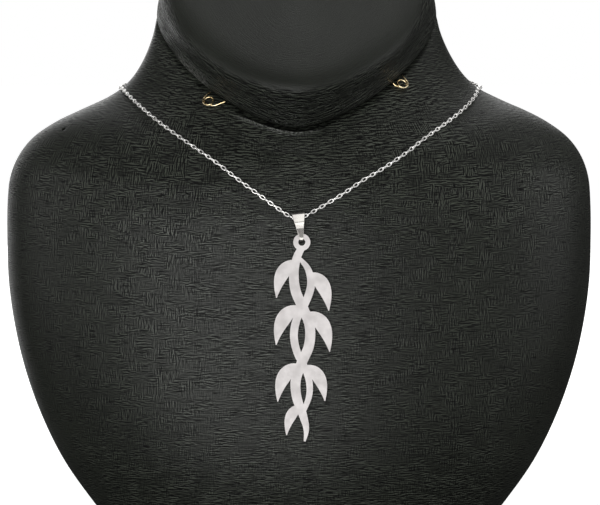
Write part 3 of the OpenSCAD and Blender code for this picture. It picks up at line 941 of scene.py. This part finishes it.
# Columns: the ring's middle along the clasp, its radius, half its wire
JOIN_RINGS = [[-5.75, 0.95, 0.22], [3.55, 0.7, 0.25], [5.1, 1.3, 0.24]]
JOIN_LEAN, JOIN_STEPS, JOIN_SIDES = 0.12, 28, 10

clasp_out = cover_normal(CLASP_RING, 180)
clasp_right = Vector((0, 0, 1)).cross(clasp_out).normalized()
clasp_up = clasp_out.cross(clasp_right)
clasp_middle = off_cover(CLASP_RING, 180, CLASP_OFF)


def on_clasp(x, y, lift):
    """A point in metres, from millimetres along the clasp, up across it and out of the cover."""
    return clasp_middle + MM * (x * clasp_right + y * clasp_up + lift * clasp_out)


claw, claw_radii = [], []
for turn in np.linspace(0, 2 * math.pi, CLAW_STEPS, endpoint=False):
    wide = CLAW_WIDTH * (CLAW_NARROW + (1 - CLAW_NARROW) * (1 - math.cos(turn)) / 2)
    claw.append(on_clasp(CLAW_MIDDLE + CLAW_REACH * math.cos(turn), wide * math.sin(turn), 0))
    thick = (1 + math.sin(turn)) / 2
    claw_radii.append(MM * (CLAW_WIRE[0] + (CLAW_WIRE[1] - CLAW_WIRE[0]) * thick))
lever = [on_clasp(*p) for p in spline(LEVER, LEVER_STEPS).tolist()]
clasp_parts = [
    tube(claw, claw_radii, CLAW_SIDES, closed=True),
    tube(lever, [LEVER_WIRE * MM] * len(lever), LEVER_SIDES),
    tube([on_clasp(*p) for p in BARREL], [r * MM for r in BARREL_WIRE], BARREL_SIDES),
]
turns = np.linspace(0, 2 * math.pi, JOIN_STEPS, endpoint=False)
for x, radius, wire_half in JOIN_RINGS:
    circle = [(radius * math.cos(t), radius * math.sin(t), JOIN_LEAN * math.sin(t)) for t in turns]
    ring = [on_clasp(x + along, up, lift) for along, up, lift in circle]
    clasp_parts.append(tube(ring, [wire_half * MM] * len(ring), JOIN_SIDES, closed=True))
clasp_metal = metal(
    "polished_clasp", colour=(0.88, 0.87, 0.85), deep=(0.7, 0.69, 0.67),
    rough=0.18, grain_scale=2200.0, relief=0.1,
)
place("clasp_body", joined("clasp_body", clasp_parts), clasp_metal, "root", "clasp")


# Bail: a strip of polished metal bent into a loop over the chain and through the eyelet, wide over
# the chain and narrow below. Each row of BAIL_ROWS is one side's distance from the middle plane
# and height above the chain.
BAIL_ROWS = [
    [0, 1.3], [0.82, 1], [1.22, 0.2], [1.3, -0.9], [1.34, -1.8], [1.16, -2.4], [0.96, -2.88],
    [0.95, -3.08], [1.05, -3.38], [1.11, -3.64], [1.11, -3.9], [1.05, -4.9], [0.96, -5.9],
    [0.87, -6.8], [0.74, -7.35], [0.4, -7.75], [0, -7.85],
]
BAIL_THICK = 0.5
BAIL_LOW_WIDTH = 0.8
BAIL_EDGE = 0.14
BAIL_STEPS, EDGE_POINTS = 6, 4


def strip_mesh(name):
    """The bail's strip, swept round its loop with rounded edges."""
    half = spline(BAIL_ROWS, BAIL_STEPS).tolist()
    loop = half + [[-x, z] for x, z in half[-2:0:-1]]
    top_z, low_z = BAIL_ROWS[0][1] + BAIL_THICK, BAIL_ROWS[-1][1] - BAIL_THICK
    corner = [(math.cos(a), math.sin(a)) for a in np.linspace(0, math.pi / 2, EDGE_POINTS)]
    section = []
    for sx, sy, order in ((1, 1, 1), (-1, 1, -1), (-1, -1, 1), (1, -1, -1)):
        section += [(sx, sy, c) for c in corner[::order]]
    points = []
    for i, (y, z) in enumerate(loop):
        before, after = loop[i - 1], loop[(i + 1) % len(loop)]
        along = Vector((after[0] - before[0], after[1] - before[1])).normalized()
        normal = Vector((-along.y, along.x))
        for sx, sy, (cx, cy) in section:
            lift = sy * (BAIL_THICK / 2 - BAIL_EDGE + BAIL_EDGE * cy)
            height = z + lift * normal.y
            share = (height - low_z) / (top_z - low_z)
            width = BAIL_LOW_WIDTH + (BAIL_TOP_WIDTH - BAIL_LOW_WIDTH) * share
            x = sx * (width / 2 - BAIL_EDGE + BAIL_EDGE * cx)
            depth = y + lift * normal.x
            points.append(bail_top + MM * (x * bail_right - depth * plate_back + height * bail_up))
    mesh = bpy.data.meshes.new(name)
    mesh.from_pydata(points, [], ring_faces(len(loop), len(section), closed=True))
    work = bmesh.new()
    work.from_mesh(mesh)
    bmesh.ops.recalc_face_normals(work, faces=work.faces)
    work.to_mesh(mesh)
    work.free()
    mesh.shade_smooth()
    return mesh


bail_metal = metal(
    "polished_bail", colour=(0.78, 0.76, 0.71), deep=(0.64, 0.61, 0.58),
    rough=0.14, grain_scale=1800.0, relief=0.12, stretch=(1, 1, 0.2), swing=0.04,
)
bail = place("bail_strip", strip_mesh("bail_strip"), bail_metal, "bail", "bail")


# Pendant: one flat openwork plate of an interlaced vine, laser cut, its face brushed to a satin and
# its cut edges polished bright.
EDGE_ROUND, EDGE_STEPS = 0.13, 3
FLAT_ANGLE, SHARP_ANGLE, ROUNDED_ANGLE = 1, 35, 40
FACE_LEVEL = 0.985


def softened(name, node, width, segments):
    """A copy of a node's mesh, joined up, its flats made whole and its edges rounded over."""
    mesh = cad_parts[node].data.copy()
    work = bmesh.new()
    work.from_mesh(mesh)
    bmesh.ops.remove_doubles(work, verts=work.verts, dist=1e-6)
    bmesh.ops.dissolve_limit(
        work, angle_limit=math.radians(FLAT_ANGLE), verts=work.verts, edges=work.edges,
    )
    work.to_mesh(mesh)
    work.free()
    mesh.shade_smooth()
    mesh.set_sharp_from_angle(angle=math.radians(SHARP_ANGLE))
    blank = bpy.data.objects.new(name, mesh)
    scene.collection.objects.link(blank)
    rounding = blank.modifiers.new("rounded edge", "BEVEL")
    rounding.width = width * MM
    rounding.segments = segments
    rounding.limit_method = "ANGLE"
    rounding.angle_limit = math.radians(ROUNDED_ANGLE)
    rounding.harden_normals = True
    graph = bpy.context.evaluated_depsgraph_get()
    mesh = bpy.data.meshes.new_from_object(blank.evaluated_get(graph))
    bpy.data.objects.remove(blank)
    return mesh


plate_metal = metal(
    "satin_plate", colour=(0.8, 0.765, 0.755), deep=(0.64, 0.61, 0.6),
    rough=0.38, grain_scale=900.0, relief=0.35, stretch=(1, 1, 0.25),
)
edge_metal = metal(
    "polished_edge", colour=(0.93, 0.91, 0.89), deep=(0.8, 0.78, 0.76),
    rough=0.14, grain_scale=2000.0, relief=0.08, swing=0.04,
)
plate_mesh = softened("pendant_plate", "pendant", EDGE_ROUND, EDGE_STEPS)
pendant = place("pendant_plate", plate_mesh, plate_metal, "pendant", "pendant")
plate_mesh.materials.append(edge_metal)
for face in plate_mesh.polygons:
    face.material_index = 0 if abs(face.normal.dot(plate_back)) > FACE_LEVEL else 1


# Floor and light: a plain pale floor that runs to the horizon, a broad soft light in front and one
# overhead, dimmer ones at both sides and behind, white cards that only the metal catches, and a dim
# surround that shows white behind the object. The floor glows, more so away from the object, so the
# dimmer glow near it is a painted shade round the object's foot.
FLOOR = 30
FLOOR_DISTANCE, FLOOR_GLOW = (0.1, 0.6), (0.64, 0.95)

floor_mesh = bpy.data.meshes.new("floor")
floor_corners = [(x * FLOOR, y * FLOOR, 0) for x, y in ((-1, -1), (1, -1), (1, 1), (-1, 1))]
floor_mesh.from_pydata(floor_corners, [], [(0, 1, 2, 3)])
floor = bpy.data.objects.new("floor", floor_mesh)
scene.collection.objects.link(floor)
floor_material, floor_shader = new_material("pale_floor")
floor_shader.inputs["Base Color"].default_value = (0.75, 0.75, 0.75, 1)
floor_shader.inputs["Roughness"].default_value = 0.9
floor_shader.inputs["Specular IOR Level"].default_value = 0.1
floor_shader.inputs["Emission Color"].default_value = (1, 1, 1, 1)
floor_distance = add_node(
    floor_material, "ShaderNodeVectorMath", operation="LENGTH",
    i0=add_node(floor_material, "ShaderNodeTexCoord").outputs["Object"],
).outputs["Value"]
# Less glow near the object: a painted shade round its foot
floor_glow = ranged(floor_material, floor_distance, *FLOOR_DISTANCE, *FLOOR_GLOW)
floor_material.node_tree.links.new(floor_glow, floor_shader.inputs["Emission Strength"])
floor_mesh.materials.append(floor_material)
floor.visible_diffuse = False
floor.visible_glossy = False

METAL_PIECES = (
    "hook_left_wire", "hook_right_wire", "chain_links", "clasp_body", "bail_strip", "pendant_plate",
)
# Columns: place, the point that it faces, width and height in metres, power in watts
LIGHTS = {
    "front_softbox": ((-0.3, -1.4, 0.06), (0, 0, 0.06), 1.2, 0.75, 13),
    "overhead_softbox": ((0.2, 0.2, 1.25), (0, 0, 0.15), 1.6, 1.3, 3.2),
    "left_fill": ((-1.3, -0.3, 0.35), (0, 0, 0.1), 0.9, 0.9, 2.8),
    "right_fill": ((1.3, -0.3, 0.4), (0, 0, 0.1), 0.9, 0.9, 4.2),
    "back_fill": ((-0.6, 1.4, 0.3), (0, 0, 0.1), 1.1, 1.1, 6),
    "back_softbox": ((0, 1.2, 1.0), (0, 0.05, 0.12), 1.2, 1.2, 7),
}
# The plate and the bail face the camera, where a softbox would blow them out, so only the cards
# light them.
not_flat_metal = bpy.data.collections.new("not_flat_metal")
for number, piece in enumerate((pendant, bail)):
    not_flat_metal.objects.link(piece)
    not_flat_metal.collection_objects[number].light_linking.link_state = "EXCLUDE"


def soft_light(name, where, target, width, height, power, lit):
    """A rectangular light that faces a point and falls only on a collection's pieces."""
    lamp = bpy.data.lights.new(name, "AREA")
    lamp.shape = "RECTANGLE"
    lamp.size = width
    lamp.size_y = height
    lamp.energy = power
    light = bpy.data.objects.new(name, lamp)
    scene.collection.objects.link(light)
    light.location = where
    light.rotation_euler = (Vector(where) - Vector(target)).to_track_quat("Z", "Y").to_euler()
    light.visible_camera = False
    light.light_linking.receiver_collection = lit


for name, (where, target, width, height, power) in LIGHTS.items():
    soft_light(name, where, target, width, height, power, not_flat_metal)

# Broad dim lights that only the metal catches, as from the white cards that a jeweller stands round
# a piece.
metal_pieces = bpy.data.collections.new("metal_pieces")
for name in METAL_PIECES:
    metal_pieces.objects.link(bpy.data.objects[name])
CARDS = {
    "front_card": ((0.1, -1.5, 0.82), (0.1, 0, 0.82), 3.2, 1.6, 18),
    "near_card": ((0, -0.27, 0.004), (0, -0.27, 1), 1.6, 0.26, 1.6),
    "low_card": ((0, -0.85, 0.004), (0, -0.85, 1), 3.2, 1.5, 4),
    "back_card": ((0, 1.7, 0.6), (0, 0, 0.12), 2.4, 2.4, 9),
}
for name, (where, target, width, height, power) in CARDS.items():
    soft_light(name, where, target, width, height, power, metal_pieces)

# The surround is dimmer below the horizon than above, and white where the camera sees it.
SURROUND_HEIGHT, SURROUND_STRENGTH = (-0.35, 0.25), (0.03, 0.09)
BACKDROP = 1.0

world = bpy.data.worlds.new("studio")
scene.world = world
world.use_nodes = True
world_node = functools.partial(grow, world.node_tree)
heading = world_node("ShaderNodeTexCoord").outputs["Generated"]
heading = world_node("ShaderNodeSeparateXYZ", i0=heading).outputs["Z"]
(low, high), (dim, full) = SURROUND_HEIGHT, SURROUND_STRENGTH
fade = world_node("ShaderNodeMapRange", i0=heading, i1=low, i2=high, i3=dim, i4=full).outputs[0]
seen = world_node("ShaderNodeLightPath").outputs["Is Camera Ray"]
strength = world_node("ShaderNodeMapRange", i0=seen, i3=fade, i4=BACKDROP).outputs[0]
surround = world.node_tree.nodes["Background"]
surround.inputs["Color"].default_value = (1, 1, 1, 1)
world.node_tree.links.new(strength, surround.inputs["Strength"])
scene.view_settings.view_transform = "Standard"
